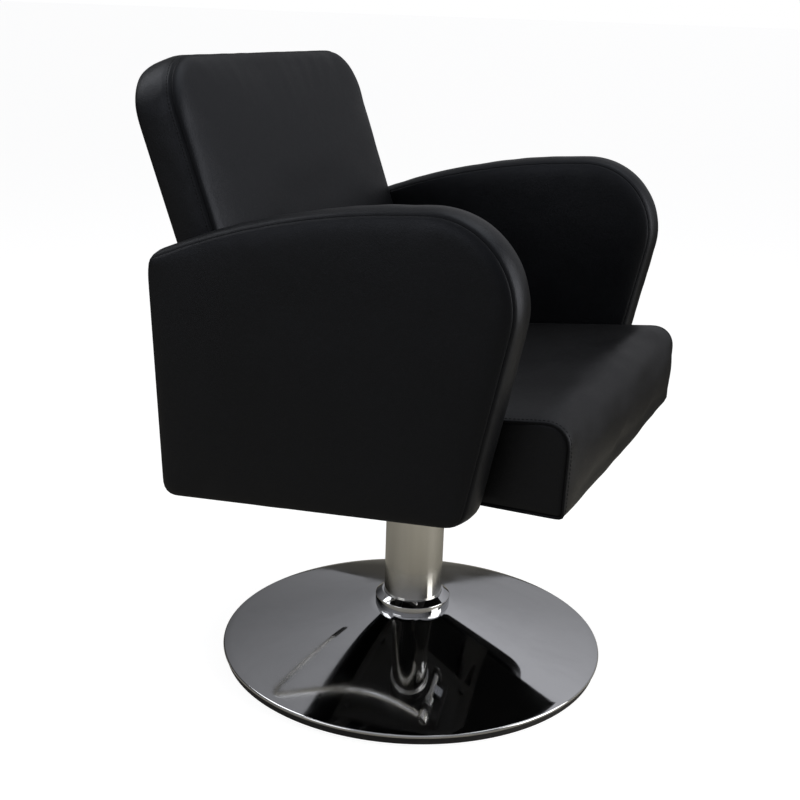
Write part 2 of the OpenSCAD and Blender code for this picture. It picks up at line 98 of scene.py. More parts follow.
class Look:
    """A material with a Principled surface and short calls that add texture nodes to it."""

    def __init__(self, name, color, roughness, metallic=0.0, **sockets):
        self.material = bpy.data.materials.new(name)
        self.material.use_nodes = True
        self.tree = self.material.node_tree
        self.surface = self.tree.nodes["Principled BSDF"]
        self.surface.inputs["Base Color"].default_value = (*color, 1)
        self.surface.inputs["Roughness"].default_value = roughness
        self.surface.inputs["Metallic"].default_value = metallic
        for socket, value in sockets.items():
            self.surface.inputs[socket.replace("_", " ")].default_value = value
        self.place = self.node("ShaderNodeTexCoord").outputs["Object"]
        self.bumps = None

    def node(self, kind, **values):
        node = self.tree.nodes.new(kind)
        for key, value in values.items():
            setattr(node, key, value)
        return node

    def join(self, out, socket):
        self.tree.links.new(out, socket)

    def stretched(self, scale):
        mapping = self.node("ShaderNodeMapping")
        mapping.inputs["Scale"].default_value = scale
        self.join(self.place, mapping.inputs["Vector"])
        return mapping.outputs["Vector"]

    def noise(self, scale, detail=3.0, rough=0.55, distortion=0.0, vector=None):
        node = self.node("ShaderNodeTexNoise")
        node.inputs["Scale"].default_value = scale
        node.inputs["Detail"].default_value = detail
        node.inputs["Roughness"].default_value = rough
        node.inputs["Distortion"].default_value = distortion
        self.join(vector or self.place, node.inputs["Vector"])
        return node.outputs["Fac"]

    def cells(self, scale, vector=None):
        node = self.node("ShaderNodeTexVoronoi", feature="F1")
        node.inputs["Scale"].default_value = scale
        self.join(vector or self.place, node.inputs["Vector"])
        return node.outputs["Distance"]

    def span(self, value, low, high, to_low, to_high, smooth=False):
        """Maps a value from low..high to to_low..to_high and holds it there."""
        node = self.node("ShaderNodeMapRange", clamp=True)
        node.interpolation_type = "SMOOTHSTEP" if smooth else "LINEAR"
        limits = {"From Min": low, "From Max": high, "To Min": to_low, "To Max": to_high}
        for socket, number in limits.items():
            node.inputs[socket].default_value = number
        self.join(value, node.inputs["Value"])
        return node.outputs["Result"]

    def math(self, operation, a, b):
        node = self.node("ShaderNodeMath", operation=operation)
        for socket, value in zip(node.inputs, (a, b)):
            if isinstance(value, (int, float)):
                socket.default_value = value
            else:
                self.join(value, socket)
        return node.outputs[0]

    def blend(self, factor, color_a, color_b):
        node = self.node("ShaderNodeMix", data_type="RGBA")
        self.join(factor, node.inputs["Factor"])
        for socket, color in ((MIX_COLOR_A, color_a), (MIX_COLOR_B, color_b)):
            if isinstance(color, tuple):
                node.inputs[socket].default_value = (*color, 1)
            else:
                self.join(color, node.inputs[socket])
        return node.outputs[MIX_COLOR_RESULT]

    def attribute(self, name):
        return self.node("ShaderNodeAttribute", attribute_name=name).outputs["Fac"]

    def bump(self, height, distance, strength=1.0):
        node = self.node("ShaderNodeBump")
        node.inputs["Strength"].default_value = strength
        node.inputs["Distance"].default_value = distance
        self.join(height, node.inputs["Height"])
        if self.bumps:
            self.join(self.bumps, node.inputs["Normal"])
        self.bumps = node.outputs["Normal"]
        self.join(self.bumps, self.surface.inputs["Normal"])

    def color(self, out):
        self.join(out, self.surface.inputs["Base Color"])

    def roughness(self, out):
        self.join(out, self.surface.inputs["Roughness"])


def darker(color, share):
    return tuple(share * c for c in color)


LEATHER_SHINE = 0.24
SEAM_SHINE = 0.17
SEAM_DULLNESS = 0.12


def leatherette(name, dark, light, rough_low, rough_high):
    """Grained vinyl: pebbles about 1 mm across, faint creases, duller in the seams, and darker there with
    painted shade in the seam grooves.
    """
    # The blue Specular_Tint is painted light: it gives the leather's reflections the cool colour of the
    # light from above.
    look = Look(name, dark, rough_low, Specular_IOR_Level=LEATHER_SHINE, Specular_Tint=(0.92, 0.97, 1.12, 1))
    patches = look.noise(7, 4, 0.6)
    fine = look.noise(260, 3, 0.6)
    pebbles = look.cells(850, vector=look.stretched((1, 1.15, 0.9)))
    pores = look.cells(1700)
    seam = look.span(look.attribute("seam"), 0.5, 5.0, 0.0, 1.0, smooth=True)
    tone = look.blend(look.span(patches, 0.35, 0.7, 0.0, 1.0), dark, light)
    tone = look.blend(look.span(pebbles, 0.15, 0.75, 0.0, 0.45), tone, darker(dark, 0.55))
    # Painted shade: the colour darkens towards each seam, standing in for the shade in its groove.
    look.color(look.blend(seam, darker(dark, 0.7), tone))
    slow = look.span(patches, 0.3, 0.7, rough_low, rough_high)
    worn = look.math("ADD", slow, look.span(fine, 0.3, 0.7, -0.03, 0.03))
    look.roughness(look.math("ADD", worn, look.span(seam, 0.0, 1.0, SEAM_DULLNESS, 0.0)))
    shine = look.span(seam, 0.0, 1.0, SEAM_SHINE, LEATHER_SHINE)
    look.join(shine, look.surface.inputs["Specular IOR Level"])
    creases = look.span(look.noise(34, 5, 0.62, 1.4), 0.47, 0.53, 0.0, 1.0, smooth=True)
    look.bump(creases, 0.00012, 0.25)
    look.bump(look.noise(48, 2, 0.5), 0.0008, 0.2)
    look.bump(pebbles, 0.00016, 0.7)
    look.bump(pores, 0.00006, 0.5)
    return look.material


def chrome(name, tone=(0.63, 0.635, 0.65), rough=0.035, streak=None):
    """Plated steel with faint waviness, wiping smears and hairline scratches."""
    look = Look(name, tone, rough, metallic=1.0)
    smear = look.noise(9, 4, 0.65, 0.6, vector=look.stretched(streak or (1, 1, 1)))
    dust = look.span(look.noise(700, 2, 0.7), 0.62, 0.74, 0.0, 1.0)
    hair = look.span(look.noise(300, 1, 0.5, vector=look.stretched((1, 14, 3))), 0.66, 0.7, 0.0, 1.0)
    base = look.span(smear, 0.35, 0.75, rough, rough + 0.07, smooth=True)
    spoiled = look.math("ADD", look.math("MULTIPLY", dust, 0.05), look.math("MULTIPLY", hair, 0.05))
    look.roughness(look.math("ADD", base, spoiled))
    look.color(look.blend(look.span(smear, 0.4, 0.8, 0.0, 1.0), tone, darker(tone, 0.9)))
    look.bump(look.noise(14, 1, 0.4), 0.0006, 0.12)
    return look.material


def painted_steel(name, color, grain, rough):
    """Powder coat: orange peel, dull and glossy spots and a few rubbed places."""
    look = Look(name, color, rough, metallic=0.0, Specular_IOR_Level=0.45)
    spots = look.noise(26, 5, 0.65)
    rubbed = look.span(look.noise(75, 6, 0.75, 0.5), 0.68, 0.76, 0.0, 0.6)
    look.color(look.blend(rubbed, color, (0.05, 0.049, 0.047)))
    look.roughness(look.span(spots, 0.3, 0.7, rough - 0.1, rough + 0.12))
    look.bump(look.noise(grain, 2, 0.5), 0.0002, 0.5)
    return look.material


def bare_metal(name, color, tint, rough):
    look = Look(name, color, rough, metallic=1.0)
    clouds = look.noise(130, 5, 0.6, 0.8)
    look.color(look.blend(look.span(clouds, 0.35, 0.7, 0.0, 1.0), color, tint))
    look.roughness(look.span(look.noise(500, 3, 0.7), 0.3, 0.7, rough - 0.06, rough + 0.1))
    look.bump(look.noise(900, 2, 0.6, vector=look.stretched((1, 1, 6))), 0.00005, 0.5)
    return look.material


PLY = 1.5 * MM


def plywood(name, across, along):
    """Birch plywood: plies show as stripes through the thickness, grain runs along the face."""
    look = Look(name, (0.62, 0.46, 0.28), 0.6)
    depth = look.node("ShaderNodeVectorMath", operation="DOT_PRODUCT")
    depth.inputs[1].default_value = across
    look.join(look.place, depth.inputs[0])
    ply = look.math("PINGPONG", look.math("MULTIPLY", depth.outputs["Value"], 1 / PLY), 1.0)
    plies = look.span(ply, 0.35, 0.65, 0.0, 0.35)
    grain = look.noise(60, 6, 0.65, 1.2, vector=look.stretched(along))
    face = look.blend(look.span(grain, 0.35, 0.7, 0.0, 1.0), (0.70, 0.53, 0.33), (0.48, 0.33, 0.18))
    look.color(look.blend(plies, face, (0.30, 0.19, 0.10)))
    look.roughness(look.span(grain, 0.3, 0.7, 0.5, 0.75))
    look.bump(grain, 0.0003, 0.5)
    return look.material


def plastic(name, color, rough, grain=400, **sockets):
    look = Look(name, color, rough, **sockets)
    clouds = look.noise(40, 4, 0.6)
    look.color(look.blend(look.span(clouds, 0.3, 0.7, 0.0, 1.0), color, darker(color, 0.8)))
    look.roughness(look.span(clouds, 0.3, 0.7, rough - 0.06, rough + 0.08))
    look.bump(look.noise(grain, 3, 0.6), 0.00015, 0.5)
    return look.material


def rubber(name):
    black, dusty = (0.018, 0.017, 0.017), (0.10, 0.09, 0.08)
    look = Look(name, black, 0.62, Specular_IOR_Level=0.35)
    dust = look.span(look.noise(55, 6, 0.7), 0.5, 0.75, 0.0, 0.15)
    look.color(look.blend(dust, black, dusty))
    look.roughness(look.span(look.noise(120, 3, 0.6), 0.3, 0.7, 0.5, 0.75))
    look.bump(look.noise(1400, 3, 0.6), 0.00015, 0.6)
    return look.material


def dust_cloth(name):
    """Spun non-woven black cloth with its small pressed dots, set darker still as painted shade under the
    seat.
    """
    # Painted shade: the black cloth's colour is set darker still, for the shade under the seat.
    look = Look(name, (0.006, 0.006, 0.0065), 0.9, Specular_IOR_Level=0.1)
    dots = look.span(look.cells(420), 0.25, 0.4, 0.0, 1.0)
    fibres = look.noise(900, 4, 0.7, 2.0)
    look.color(look.blend(dots, (0.004, 0.004, 0.0044), (0.010, 0.010, 0.0105)))
    look.bump(fibres, 0.0003, 0.7)
    look.bump(dots, 0.0002, 0.8)
    return look.material


BLACK_LEATHER = (0.0022, 0.0023, 0.0026), (0.0032, 0.0034, 0.0038)
# Painted light: the seat's leather is a lighter, warmer copy of the black leather, standing in for the warm
# light on the seat's front.
LIT_SEAT_LEATHER = (0.0038, 0.0036, 0.0034), (0.0052, 0.0050, 0.0047)

finishes = {
    "chrome": chrome("chrome"),
    "floor_rubber": rubber("floor_rubber"),
    "black_steel": painted_steel("black_steel", (0.010, 0.010, 0.011), 700, 0.5),
    "cast_black": painted_steel("cast_black", (0.012, 0.012, 0.013), 190, 0.6),
    "zinc_steel": bare_metal("zinc_steel", (0.56, 0.57, 0.58), (0.60, 0.56, 0.46), 0.3),
    "bearing_steel": bare_metal("bearing_steel", (0.60, 0.61, 0.63), (0.50, 0.51, 0.53), 0.2),
    "white_plastic": plastic("white_plastic", (0.74, 0.72, 0.65), 0.48),
    "black_plastic": plastic("black_plastic", (0.02, 0.02, 0.021), 0.45, 300),
    "plywood": plywood("plywood", (0, 0, 1), (1, 9, 9)),
    "black_cloth": dust_cloth("black_cloth"),
    "black_leather": leatherette("black_leather", *BLACK_LEATHER, 0.38, 0.48),
    "seat_leather": leatherette("seat_leather", *LIT_SEAT_LEATHER, 0.40, 0.50),
}
satin_chrome = chrome("column_chrome", tone=(0.68, 0.67, 0.64), rough=0.09, streak=(5, 5, 0.25))
lever_chrome = chrome("lever_chrome", tone=(0.75, 0.75, 0.75), rough=0.2)
upright_plywood = plywood("upright_plywood", (1, 0, 0), (9, 1, 9))
raked_plywood = plywood("raked_plywood", (0, 0.94, -0.342), (1, 9, 9))
thread = plastic("thread", (0.006, 0.006, 0.0065), 0.7, 2500, Specular_IOR_Level=0.1)

own_looks = {
    "arm_core_right": upright_plywood,
    "arm_core_left": upright_plywood,
    "back_board": raked_plywood,
}


def dress_cad_nodes():
    for part in frame["record"]["subparts"]:
        look = own_looks.get(part["node"], finishes[part["material_slot"]])
        for place in frame["nodes"][part["node"]].material_slots:
            place.material = look


dress_cad_nodes()

# ---------------------------------------------------------------- mesh helpers


def unit(v):
    v = np.asarray(v, float)
    return v / np.linalg.norm(v)


def averaged(values, axis=0):
    """Each value evened out with its two neighbours round a closed loop."""
    return (np.roll(values, 1, axis) + 2 * values + np.roll(values, -1, axis)) / 4


def eased_step(t):
    """A rise from 0 to 1 that starts and ends level."""
    return t * t * (3 - 2 * t)


def run_of(loop):
    """A closed line with its first point repeated, and the length run up to each of its points."""
    closed = np.vstack([loop, loop[:1]])
    legs = np.linalg.norm(np.diff(closed, axis=0), axis=1)
    return closed, np.concatenate([[0], np.cumsum(legs)])


def vectors(vertices, field):
    flat = np.empty(3 * len(vertices))
    vertices.foreach_get(field, flat)
    return flat.reshape(-1, 3)


def positions(mesh):
    return vectors(mesh.vertices, "co")


def move_to(mesh, points):
    mesh.vertices.foreach_set("co", np.asarray(points).ravel())
    mesh.update()


def node_points(name):
    return positions(frame["nodes"][name].data)


def add_mesh(name, points, faces, body, slot, material=None, smooth_under=None):
    """A piece that rides on a body, takes its finish from a slot, and shades smooth."""
    mesh = bpy.data.meshes.new(name)
    mesh.from_pydata([tuple(p) for p in points], [], faces)
    work = bmesh.new()
    work.from_mesh(mesh)
    bmesh.ops.recalc_face_normals(work, faces=work.faces)
    work.to_mesh(mesh)
    work.free()
    mesh.shade_smooth()
    if smooth_under is not None:
        mesh.set_sharp_from_angle(angle=math.radians(smooth_under))
    mesh.materials.append(material or finishes[slot])
    piece = bpy.data.objects.new(name, mesh)
    scene.collection.objects.link(piece)
    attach(piece, body)
    return piece


def ring_faces(rings, around, closed_rows=False):
    faces = []
    for r in range(rings if closed_rows else rings - 1):
        a, b = r * around, (r + 1) % rings * around
        faces += [(a + i, a + (i + 1) % around, b + (i + 1) % around, b + i) for i in range(around)]
    return faces


def capped_rings(rings):
    """Points and faces of a closed skin over rings, with each end drawn together in one point."""
    count, around = len(rings), len(rings[0])
    points = np.vstack([np.vstack(rings), rings[0].mean(0), rings[-1].mean(0)])
    faces = ring_faces(count, around)
    first, last, low, high = 0, (count - 1) * around, count * around, count * around + 1
    faces += [(low, first + (i + 1) % around, first + i) for i in range(around)]
    faces += [(high, last + i, last + (i + 1) % around) for i in range(around)]
    return points, faces


def arc(center, radius, start, end, steps):
    """Points on an arc in the plane of radius and height, angles in degrees."""
    turns = np.radians(np.linspace(start, end, steps + 1))
    return [(center[0] + radius * math.cos(t), center[1] + radius * math.sin(t)) for t in turns]


def softened(profile, size, steps=4):
    """Rounds each corner of a closed profile by about the given size."""
    out = []
    for k, p in enumerate(profile):
        p = np.array(p)
        before, after = (np.array(profile[(k + s) % len(profile)]) - p for s in (-1, 1))
        reach = min(size, 0.45 * np.linalg.norm(before), 0.45 * np.linalg.norm(after))
        a, b = p + unit(before) * reach, p + unit(after) * reach
        for t in np.linspace(0, 1, steps + 1):
            out.append(tuple((1 - t) ** 2 * a + 2 * t * (1 - t) * p + t * t * b))
    return out


def lathe(name, profile, body, slot, around=256, **options):
    """Turns a closed profile of (radius, height) points round the column's axis."""
    turns = 2 * math.pi * np.arange(around) / around
    points = [(r * math.cos(t), r * math.sin(t), z) for r, z in profile for t in turns]
    return add_mesh(name, points, ring_faces(len(profile), around, True), body, slot, **options)


def tube_rings(path, radius, around=24):
    """Rings round a path, without twist."""
    path = np.asarray(path, float)
    heading = np.gradient(path, axis=0)
    side = unit(np.cross(heading[0], (0.3, 0.2, 1.0)))
    rings = []
    turns = 2 * math.pi * np.arange(around) / around
    radii = np.broadcast_to(radius, len(path))
    for p, h, r in zip(path, heading, radii):
        h = unit(h)
        side = unit(side - h * np.dot(side, h))
        over = np.cross(h, side)
        rings.append(p + r * (np.outer(np.cos(turns), side) + np.outer(np.sin(turns), over)))
    return rings


def closed_tube_rings(path, radius, around=12):
    """Rings round a closed path; each ring's frame comes from the path's own plane."""
    path = np.asarray(path, float)
    heading = np.roll(path, -1, 0) - np.roll(path, 1, 0)
    flat = unit(np.cross(heading[0], heading[len(path) // 4]))
    turns = 2 * math.pi * np.arange(around) / around
    rings = []
    for p, h in zip(path, heading):
        out = unit(np.cross(h, flat))
        rings.append(p + radius * (np.outer(np.cos(turns), out) + np.outer(np.sin(turns), flat)))
    return rings


# ---------------------------------------------------------------- upholstered pieces

SEAM_STEPS = [0.0, 0.7, 1.5, 2.6, 4.2, 6.5, 10, 15, 22, 30]  # where rings lie, in mm from a seam
PANEL_RINGS = 16
BAND_ROLL = 20 * MM
PANEL_ROLL = 14 * MM
BAND_RING_GAP = 9 * MM
FAR_FROM_SEAMS = 0.1
SPREAD_PASSES = 6
SEAM_GROOVE = 1.5 * MM
SEAM_GROOVE_WIDTH = 1.7 * MM


def rounded(distance, reach):
    """A quarter-round rise from 0 at a seam to 1 at the reach, flat after that."""
    t = np.clip(np.asarray(distance) / reach, 0, 1)
    return 0.6 * np.sqrt(1 - (1 - t) ** 2) + 0.4 * (1 - (1 - t) ** 2)


def hull(points):
    """The convex outline of flat points, anticlockwise."""
    points = sorted({(round(float(a), 6), round(float(b), 6)) for a, b in points})
    def half(run):
        out = []
        for p in run:
            while len(out) > 1:
                (ax, ay), (bx, by) = out[-2:]
                if (bx - ax) * (p[1] - ay) - (by - ay) * (p[0] - ax) > 1e-9:
                    break
                out.pop()
            out.append(p)
        return out[:-1]
    return np.array(half(points) + half(points[::-1]))


def outline_of(node, u, v, step, passes):
    """The node's outline along u and v, evenly spaced and eased at its corners."""
    points = node_points(node)
    loop = hull(np.stack([points @ u, points @ v], 1))
    closed, run = run_of(loop)
    at = np.linspace(0, run[-1], int(run[-1] / step), endpoint=False)
    even = np.stack([np.interp(at, run, closed[:, k]) for k in (0, 1)], 1)
    for _ in range(passes):
        even = averaged(even)
    return even


class Cushion:
    """A boxed cushion: two panels sewn to a band, from an outline and a thickness.

    u and v span the outline, w runs through the thickness. edge_in and seam_in say how far the two seams
    lie inside the CAD solid, and proud how far the band stands outside it; edge_in and proud may depend on
    the outline's outward direction. panel_rise is how high a panel rolls up from its seam, and the crowns
    are what is added towards the middle. puff(side, uv) gives the share of a panel's crown.
    """

    def __init__(self, node, axes, edge_in, seam_in, proud, panel_rise, band_crown=0.0,
                 panel_crown=(0.0, 0.0), puff=None, step=6 * MM, passes=3, second_seam=0.0):
        self.node = node
        self.u, self.v, self.w = (unit(a) for a in axes)
        depth = node_points(node) @ self.w
        self.w0, self.w1 = depth.min(), depth.max()
        self.loop = outline_of(node, self.u, self.v, step, passes)
        tangent = np.roll(self.loop, -1, 0) - np.roll(self.loop, 1, 0)
        tangent /= np.linalg.norm(tangent, axis=1)[:, None]
        self.out = np.stack([tangent[:, 1], -tangent[:, 0]], 1)
        self.edge_in, self.proud, self.band_crown = (self.spread(v) for v in (edge_in, proud, band_crown))
        self.seam_loop = self.loop - self.out * self.edge_in[:, None]
        self.seam_w = (self.w0 + seam_in[0], self.w1 - seam_in[1])
        self.center = self.seam_loop.mean(0)
        self.panel_rise, self.panel_crown = panel_rise, panel_crown
        self.puff = puff or (lambda side, uv: np.ones(len(uv)))
        self.second_seam = second_seam
        self.build()

    def spread(self, value):
        """A measure at each point of the outline, from one number or from a function of the direction."""
        if not callable(value):
            return np.full(len(self.loop), value)
        measures = np.array([value(way) for way in self.out])
        for _ in range(SPREAD_PASSES):
            measures = averaged(measures)
        return measures

    def world(self, uv, w):
        w = np.broadcast_to(w, len(uv))
        return uv[:, :1] * self.u + uv[:, 1:] * self.v + w[:, None] * self.w

    def groove(self, distance):
        return SEAM_GROOVE * np.exp(-(distance / SEAM_GROOVE_WIDTH) ** 2)

    def band_ring(self, w):
        """The ring of the band at depth w, and its distance from the nearer seam."""
        low, high = self.seam_w
        near = min(w - low, high - w)
        half = (high - low) / 2
        rise = (self.edge_in + self.proud) * rounded(near, min(half, BAND_ROLL))
        rise += self.band_crown * (1 - ((w - low) / half - 1) ** 2)
        rise -= self.groove(near)
        if self.second_seam:
            rise -= 0.5 * self.groove(abs(w - low - self.second_seam))
        uv = self.seam_loop + self.out * rise[:, None]
        return self.world(uv, w), near

    def panel_ring(self, side, reach_in):
        """The ring of a panel that lies reach_in (one distance per outline point) inside its seam."""
        inward = self.center - self.seam_loop
        length = np.linalg.norm(inward, axis=1)
        inward /= length[:, None]
        uv = self.seam_loop + inward * reach_in[:, None]
        away = reach_in * -(inward * self.out).sum(1)
        share = np.clip(reach_in / length, 0, 1)
        height = self.panel_rise[side] * rounded(away, PANEL_ROLL) - self.groove(away)
        height += self.panel_crown[side] * (1 - (1 - share) ** 2) * self.puff(side, uv)
        sign = (-1, 1)[side]
        return self.world(uv, self.seam_w[side] + sign * height), float(away.mean()), length

    def build(self):
        steps = np.array(SEAM_STEPS) * MM
        rings, distances = [], []
        for side in (0, 1):
            _, _, length = self.panel_ring(side, np.zeros(len(self.loop)))
            reaches = [np.full(len(length), s) for s in steps[1:]]
            rest = np.linspace(0, 1, PANEL_RINGS + 1)[1:-1] ** 0.9
            reaches += [steps[-1] + (length - steps[-1]) * f for f in rest]
            panel = [self.panel_ring(side, r)[:2] for r in reaches]
            if side == 0:
                panel = panel[::-1] + self.band_rings(steps)
            rings += [r for r, _ in panel]
            distances += [d for _, d in panel]
        self.points, self.faces = capped_rings(rings)
        around = len(self.loop)
        self.seam_distance = np.concatenate([np.repeat(distances, around), [FAR_FROM_SEAMS] * 2])

    def band_rings(self, steps):
        low, high = self.seam_w
        half = (high - low) / 2
        near = [s for s in steps if s < half - 2 * MM]
        gap = 2 * (half - near[-1])
        count = max(2, int(gap / BAND_RING_GAP))
        between = [low + near[-1] + gap * k / count for k in range(1, count)]
        depths = [low + s for s in near] + between + [high - s for s in near[::-1]]
        return [self.band_ring(w) for w in depths]

    def seam(self, side):
        """The seam's own line, as points in the shared frame."""
        return self.world(self.seam_loop, self.seam_w[side])

    def make(self, name, body, slot, uneven=0.7 * MM, seed=0.0):
        self.piece = add_mesh(name, self.points, self.faces, body, slot)
        self.roughen(uneven, seed)
        mark = self.piece.data.attributes.new("seam", "FLOAT", "POINT")
        mark.data.foreach_set("value", np.minimum(self.seam_distance / MM, 30).astype(np.float32))
        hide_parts(self.node)
        return self.piece

    def roughen(self, size, seed):
        """Slow dents and swells that stuffed covers have, none at the seams."""
        mesh = self.piece.data
        spots = positions(mesh)
        waves = [noise.noise(Vector(at) * 9) + 0.5 * noise.noise(Vector(at) * 24) for at in spots + seed]
        swell = size * np.array(waves) * np.clip(self.seam_distance / (20 * MM), 0, 1)
        move_to(mesh, spots + vectors(mesh.vertices, "normal") * swell[:, None])


# ---------------------------------------------------------------- cloth

VOXEL = 6 * MM
HELD_WITHIN = 7 * MM
CLOTH_FRAMES = 20
CLOTH_PRESSURE = 4
CLOTH_SLACK = 0.012


def cloth_copy(cushion):
    """An evenly meshed copy of a cushion, held along its seams and blown up as cloth."""
    source = cushion.piece.copy()
    source.data = cushion.piece.data.copy()
    source.parent = None
    source.matrix_world = Matrix()
    scene.collection.objects.link(source)
    remesh = source.modifiers.new("even", "REMESH")
    remesh.mode = "VOXEL"
    remesh.voxel_size = VOXEL
    graph = bpy.context.evaluated_depsgraph_get()
    mesh = bpy.data.meshes.new_from_object(source.evaluated_get(graph))
    source.modifiers.clear()
    source.data = mesh
    seams = KDTree(2 * len(cushion.loop))
    for k, p in enumerate(np.vstack([cushion.seam(0), cushion.seam(1)])):
        seams.insert(p, k)
    seams.balance()
    held = source.vertex_groups.new(name="held")
    held.add([v.index for v in mesh.vertices if seams.find(v.co)[2] < HELD_WITHIN], 1.0, "REPLACE")
    cloth = source.modifiers.new("cloth", "CLOTH")
    settings = cloth.settings
    settings.quality = 5
    settings.use_pressure = True
    settings.uniform_pressure_force = CLOTH_PRESSURE
    settings.effector_weights.gravity = 0
    settings.vertex_group_mass = "held"
    settings.shrink_min = -CLOTH_SLACK
    cloth.collision_settings.use_collision = False
    cloth.point_cache.frame_start = 1
    cloth.point_cache.frame_end = CLOTH_FRAMES
    return source


def moved_by(before, after, triangles, cushion, cap, share):
    """Moves the cushion's points by what the cloth did at the nearest place of its even copy."""
    shift = after - before
    size = np.linalg.norm(shift, axis=1)
    shift *= (cap * np.tanh(size / cap) / np.maximum(size, 1e-9))[:, None]
    tree = BVHTree.FromPolygons([tuple(p) for p in before], triangles)
    mesh = cushion.piece.data
    places = positions(mesh)
    moves = np.zeros(places.shape)
    for k, place in enumerate(places):
        spot, _, index, _ = tree.find_nearest(place)
        a, b, c = triangles[index]
        pa, pb, pc = before[a], before[b], before[c]
        area = np.linalg.norm(np.cross(pb - pa, pc - pa)) + 1e-18
        spot = np.array(spot)
        wa = np.linalg.norm(np.cross(pb - spot, pc - spot)) / area
        wb = np.linalg.norm(np.cross(pc - spot, pa - spot)) / area
        moves[k] = wa * shift[a] + wb * shift[b] + max(0, 1 - wa - wb) * shift[c]
    moves *= share(places)[:, None]
    move_to(mesh, places + eased(moves, len(cushion.loop), 3))


def eased(moves, around, passes):
    """Evens out a field on a cushion's rings."""
    grid = moves[:-2].reshape(-1, around, 3).copy()
    for _ in range(passes):
        grid = averaged(grid, axis=1)
        grid[1:-1] = (grid[:-2] + 2 * grid[1:-1] + grid[2:]) / 4
    return np.vstack([grid.reshape(-1, 3), grid[0].mean(0), grid[-1].mean(0)])


def stuff(jobs):
    """Runs the cloth of all cushions together. A job is (cushion, cap, share of the move at each point)."""
    copies = [cloth_copy(cushion) for cushion, _, _ in jobs]
    before = [positions(c.data) for c in copies]
    for number in range(1, CLOTH_FRAMES + 1):
        scene.frame_set(number)
    graph = bpy.context.evaluated_depsgraph_get()
    for copy, start, (cushion, cap, share) in zip(copies, before, jobs):
        end = positions(copy.evaluated_get(graph).data)
        triangles = []
        for polygon in copy.data.polygons:
            corners = list(polygon.vertices)
            triangles += [(corners[0], corners[k], corners[k + 1]) for k in range(1, len(corners) - 1)]
        moved_by(start, end, triangles, cushion, cap, share)
    for copy in copies:
        bpy.data.objects.remove(copy)
    scene.frame_set(1)


# ---------------------------------------------------------------- the tub

X, Y, Z = np.eye(3)
ARM_SPLAY = math.radians(1.26)
BACK_RAKE = math.radians(20)
REAR_LEAN = math.radians(3.3)

seat_low, seat_high = (np.array(c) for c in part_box("seat_cushion"))


def everywhere(points):
    return np.ones(len(points))


def over_or_ahead(way):
    """Whether a side outline's outward direction points up or to the front."""
    return way[1] > 0.3 or way[0] < -0.7


def arm_cover(side, name, node, seed):
    """side is 1 for the sitter's left. w runs outwards from the tub."""
    through = (side * math.cos(ARM_SPLAY), math.sin(ARM_SPLAY), 0)
    along = (-side * math.sin(ARM_SPLAY), math.cos(ARM_SPLAY), 0)
    cushion = Cushion(
        node, (along, Z, through), seam_in=(2.6 * MM, 2.6 * MM),
        edge_in=lambda way: 4.8 * MM if over_or_ahead(way) else -0.6 * MM,
        proud=lambda way: 0.6 * MM if over_or_ahead(way) else 1.4 * MM,
        band_crown=lambda way: 2.0 * MM if over_or_ahead(way) else 0.0,
        panel_rise=(2.6 * MM, 3.4 * MM), panel_crown=(0.2 * MM, 0.8 * MM), passes=1,
    )
    cushion.make(name, "seat", "black_leather", seed=seed)
    return cushion


def seat_share(points):
    """The seat swells at its top and front only, and not where the arms hold it."""
    inner = np.clip((seat_high[0] - np.abs(points[:, 0])) / (25 * MM), 0, 1)
    above = np.clip((points[:, 2] - seat_low[2] - 6 * MM) / (20 * MM), 0, 1)
    ahead = np.clip((seat_high[1] - 20 * MM - points[:, 1]) / (60 * MM), 0, 1)
    return inner * above * ahead


def seat_cover():
    cushion = Cushion(
        "seat_cushion", (Y, Z, X), seam_in=(1.2 * MM, 1.2 * MM), panel_rise=(1.4 * MM, 1.4 * MM),
        edge_in=lambda way: 2.4 * MM if over_or_ahead(way) else 1.0 * MM,
        proud=lambda way: 0.8 * MM if over_or_ahead(way) else -0.6 * MM,
        band_crown=lambda way: 4.5 * MM if over_or_ahead(way) else 0.0, step=5 * MM, passes=2,
    )
    cushion.make("seat_cover", "seat", "seat_leather", uneven=1.1 * MM, seed=3.1)
    return cushion


def back_puff(side, uv):
    """The back's front panel swells above the seat; its rear panel stays nearly flat."""
    height = uv[:, 1] - uv[:, 1].min()
    clear = np.clip((height - 90 * MM) / (110 * MM), 0, 1)
    return eased_step(clear) if side == 0 else np.ones(len(uv))


def back_share(points):
    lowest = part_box("back_cushion")[0][2]
    clear = np.clip((points[:, 2] - lowest - 110 * MM) / (80 * MM), 0, 1)
    return eased_step(clear)


def back_cover():
    up = (0, math.sin(BACK_RAKE), math.cos(BACK_RAKE))
    through = (0, math.cos(BACK_RAKE), -math.sin(BACK_RAKE))
    cushion = Cushion(
        "back_cushion", (X, up, through), edge_in=2.0 * MM, seam_in=(8.0 * MM, 1.5 * MM),
        proud=lambda way: 2.4 * MM if way[1] > 0.8 else 0.6 * MM, panel_rise=(7.5 * MM, 2 * MM),
        panel_crown=(4 * MM, 1 * MM), puff=back_puff, second_seam=6 * MM,
    )
    cushion.make("back_cover", "seat", "black_leather", uneven=0.4 * MM, seed=7.7)
    return cushion


def rear_cover():
    up = (0, math.sin(REAR_LEAN), math.cos(REAR_LEAN))
    through = (0, math.cos(REAR_LEAN), -math.sin(REAR_LEAN))
    cushion = Cushion(
        "rear_panel", (X, up, through), edge_in=1.2 * MM, seam_in=(3.5 * MM, 3.5 * MM), proud=0.2 * MM,
        panel_rise=(2.5 * MM, 3 * MM), panel_crown=(0.5 * MM, 2 * MM), passes=4,
    )
    cushion.make("rear_panel_cover", "seat", "black_leather", seed=11.3)
    return cushion


